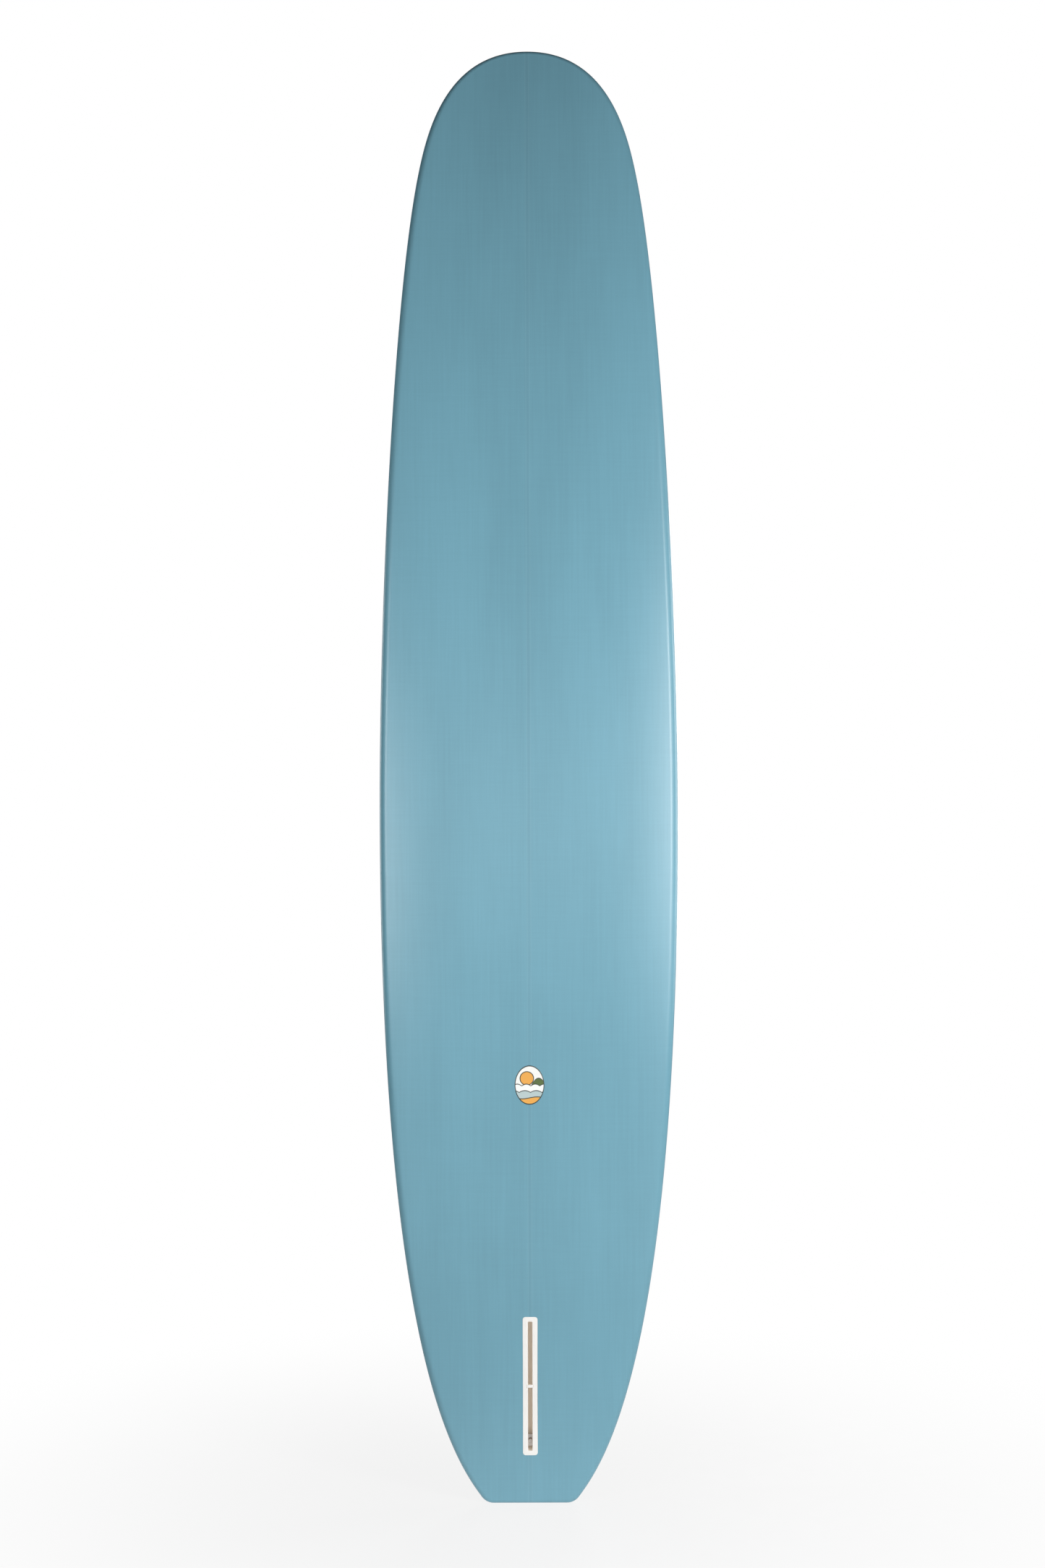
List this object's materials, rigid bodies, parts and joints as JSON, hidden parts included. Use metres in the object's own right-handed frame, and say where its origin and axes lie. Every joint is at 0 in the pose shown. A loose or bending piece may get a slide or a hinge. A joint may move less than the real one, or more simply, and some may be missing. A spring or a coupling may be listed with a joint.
{
  "type": "surfboard",
  "caption": "Longboard surfboard on its tail: foam blank and stringer in a tinted bottom laminate, with a slotted fin box, its nut plate and screw, and a leash plug in the deck.",
  "frame": {"origin": "the middle of the flat tail end, which is the board's lowest face as it stands", "axes": "+Z runs along the board from the tail to the nose, +Y points to the deck side and +X across the board; the bottom faces -Y"},
  "size_m": [0.575, 0.1349, 2.845],
  "materials": {
    "tint": "satin",
    "cloth": "satin",
    "patch": "matte",
    "foam": "matte",
    "timber": "satin",
    "pinline": "satin",
    "badge": "satin",
    "box": "satin",
    "resin": "gloss",
    "steel": "satin",
    "cup": "satin"
  },
  "bodies": {
    "board": {"bottom_laminate": "tint", "deck_laminate": "cloth", "deck_patch": "patch", "foam_blank_left": "foam", "foam_blank_right": "foam", "stringer": "timber", "pinline": "pinline", "badge": "badge", "fin_box": "box", "fin_box_bed": "resin", "slot_plug": "box", "leash_cup": "cup", "leash_pin": "steel", "leash_bed": "resin"},
    "nut_plate": {"fin_nut_plate": "steel"},
    "screw": {"fin_screw": "steel"}
  },
  "joints": [
    {"name": "nut_plate_slide", "type": "slide", "parent": "board", "child": "nut_plate", "axis": [0, -0.1122, 0.9937], "range_m": [0, 0.104]},
    {"name": "screw_turn", "type": "hinge", "parent": "nut_plate", "child": "screw", "pos_m": [0, -0.01635, 0.12696], "axis": [0, -0.9937, -0.1122], "continuous": true}
  ]
}
